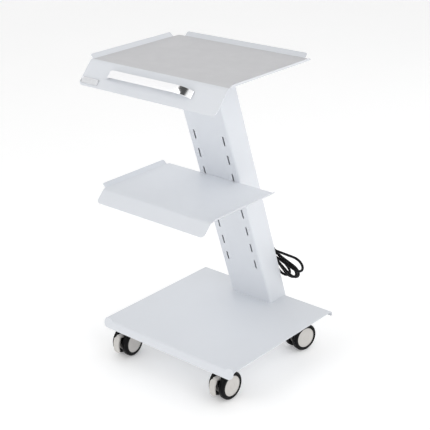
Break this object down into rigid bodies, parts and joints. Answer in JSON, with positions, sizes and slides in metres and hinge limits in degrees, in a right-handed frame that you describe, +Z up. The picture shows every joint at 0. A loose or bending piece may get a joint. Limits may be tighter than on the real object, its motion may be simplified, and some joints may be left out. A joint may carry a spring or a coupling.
{
  "type": "dental equipment trolley",
  "caption": "Wheeled trolley of folded white sheet: shelves on a leaning slotted column, bow handle, twin-wheel casters, outlet strip and tied lead.",
  "frame": {"origin": "middle of the footprint at the floor, without the mains lead", "axes": "+Z up, +X to the user's right, the user stands at -Y and the column leans towards -Y"},
  "size_m": [0.4596, 0.4878, 0.8237],
  "materials": {
    "white_paint": "powder coat, satin",
    "zinc_steel": "zinc plated",
    "chrome": "polished",
    "bright_plate": "polished",
    "white_plastic": "gloss",
    "black_plastic": "fine grain",
    "red_plastic": "gloss",
    "black_cord": "smooth",
    "brass_pins": "nickel plated",
    "gloss_black": "gloss moulded",
    "grey_plastic": "satin moulded",
    "tread": "smooth"
  },
  "bodies": {
    "frame": {"base_deck": "white_paint", "base_rails": "white_paint", "caster_plates": "zinc_steel", "caster_stems": "zinc_steel", "column": "white_paint", "column_cover": "white_paint", "cover_screws": "zinc_steel", "foot_plate": "zinc_steel", "foot_bolts": "zinc_steel", "head_plate": "zinc_steel", "shelf_nuts": "zinc_steel", "top_shelf": "white_paint", "handle": "chrome", "handle_screws": "zinc_steel", "badge": "bright_plate", "outlet_case": "white_plastic", "outlet_1": "black_plastic", "outlet_2": "black_plastic", "outlet_3": "black_plastic", "terminal_block": "black_plastic", "switch_frame": "black_plastic", "cord_gland": "black_plastic", "power_cord": "black_cord", "cord_hank": "black_cord", "cord_tie": "black_plastic", "tie_saddle": "white_plastic", "plug": "black_plastic", "plug_pins": "brass_pins"},
    "middle_shelf": {"middle_shelf": "white_paint", "bracket_left": "white_paint", "bracket_right": "white_paint"},
    "rocker": {"rocker": "red_plastic"},
    "caster_fl": {"caster_fl_body": "gloss_black", "caster_fl_axle": "zinc_steel", "pedal_pin_fl": "zinc_steel"},
    "wheel_fl_left": {"caster_fl_left_hub": "grey_plastic", "caster_fl_left_tyre": "tread"},
    "wheel_fl_right": {"caster_fl_right_hub": "grey_plastic", "caster_fl_right_tyre": "tread"},
    "pedal_fl": {"pedal_fl": "grey_plastic"},
    "caster_fr": {"caster_fr_body": "gloss_black", "caster_fr_axle": "zinc_steel", "pedal_pin_fr": "zinc_steel"},
    "wheel_fr_left": {"caster_fr_left_hub": "grey_plastic", "caster_fr_left_tyre": "tread"},
    "wheel_fr_right": {"caster_fr_right_hub": "grey_plastic", "caster_fr_right_tyre": "tread"},
    "pedal_fr": {"pedal_fr": "grey_plastic"},
    "caster_rl": {"caster_rl_body": "gloss_black", "caster_rl_axle": "zinc_steel"},
    "wheel_rl_left": {"caster_rl_left_hub": "grey_plastic", "caster_rl_left_tyre": "tread"},
    "wheel_rl_right": {"caster_rl_right_hub": "grey_plastic", "caster_rl_right_tyre": "tread"},
    "caster_rr": {"caster_rr_body": "gloss_black", "caster_rr_axle": "zinc_steel"},
    "wheel_rr_left": {"caster_rr_left_hub": "grey_plastic", "caster_rr_left_tyre": "tread"},
    "wheel_rr_right": {"caster_rr_right_hub": "grey_plastic", "caster_rr_right_tyre": "tread"}
  },
  "joints": [
    {"name": "middle_shelf_lift", "type": "slide", "parent": "frame", "child": "middle_shelf", "axis": [0, -0.2957, 0.9553], "range_m": [0, 0.008]},
    {"name": "rocker_tilt", "type": "hinge", "parent": "frame", "child": "rocker", "pos_m": [0, 0.16473, 0.42173], "axis": [1, 0, 0], "range_deg": [-16, 0]},
    {"name": "caster_fl_swivel", "type": "hinge", "parent": "frame", "child": "caster_fl", "pos_m": [-0.1748, -0.1343, 0.06], "axis": [0, 0, 1], "continuous": true},
    {"name": "wheel_fl_left_spin", "type": "hinge", "parent": "caster_fl", "child": "wheel_fl_left", "pos_m": [-0.18951, -0.15732, 0.0375], "axis": [0.9954, 0.0958, 0], "continuous": true},
    {"name": "wheel_fl_right_spin", "type": "hinge", "parent": "caster_fl", "child": "wheel_fl_right", "pos_m": [-0.15597, -0.15409, 0.0375], "axis": [0.9954, 0.0958, 0], "continuous": true},
    {"name": "pedal_fl_press", "type": "hinge", "parent": "caster_fl", "child": "pedal_fl", "pos_m": [-0.17154, -0.16815, 0.061], "axis": [-0.9954, -0.0958, 0], "range_deg": [0, 12]},
    {"name": "caster_fr_swivel", "type": "hinge", "parent": "frame", "child": "caster_fr", "pos_m": [0.1748, -0.1343, 0.06], "axis": [0, 0, 1], "continuous": true},
    {"name": "wheel_fr_left_spin", "type": "hinge", "parent": "caster_fr", "child": "wheel_fr_left", "pos_m": [0.15732, -0.15529, 0.0375], "axis": [0.9996, -0.0297, 0], "continuous": true},
    {"name": "wheel_fr_right_spin", "type": "hinge", "parent": "caster_fr", "child": "wheel_fr_right", "pos_m": [0.19101, -0.15629, 0.0375], "axis": [0.9996, -0.0297, 0], "continuous": true},
    {"name": "pedal_fr_press", "type": "hinge", "parent": "caster_fr", "child": "pedal_fr", "pos_m": [0.17379, -0.16829, 0.061], "axis": [-0.9996, 0.0297, 0], "range_deg": [0, 12]},
    {"name": "caster_rl_swivel", "type": "hinge", "parent": "frame", "child": "caster_rl", "pos_m": [-0.1748, 0.181, 0.06], "axis": [0, 0, 1], "continuous": true},
    {"name": "wheel_rl_left_spin", "type": "hinge", "parent": "caster_rl", "child": "wheel_rl_left", "pos_m": [-0.18808, 0.15712, 0.0375], "axis": [0.9877, 0.1564, 0], "continuous": true},
    {"name": "wheel_rl_right_spin", "type": "hinge", "parent": "caster_rl", "child": "wheel_rl_right", "pos_m": [-0.15479, 0.1624, 0.0375], "axis": [0.9877, 0.1564, 0], "continuous": true},
    {"name": "caster_rr_swivel", "type": "hinge", "parent": "frame", "child": "caster_rr", "pos_m": [0.1748, 0.181, 0.06], "axis": [0, 0, 1], "continuous": true},
    {"name": "wheel_rr_left_spin", "type": "hinge", "parent": "caster_rr", "child": "wheel_rr_left", "pos_m": [0.15385, 0.16347, 0.0375], "axis": [0.9781, -0.2079, 0], "continuous": true},
    {"name": "wheel_rr_right_spin", "type": "hinge", "parent": "caster_rr", "child": "wheel_rr_right", "pos_m": [0.18681, 0.15646, 0.0375], "axis": [0.9781, -0.2079, 0], "continuous": true}
  ]
}
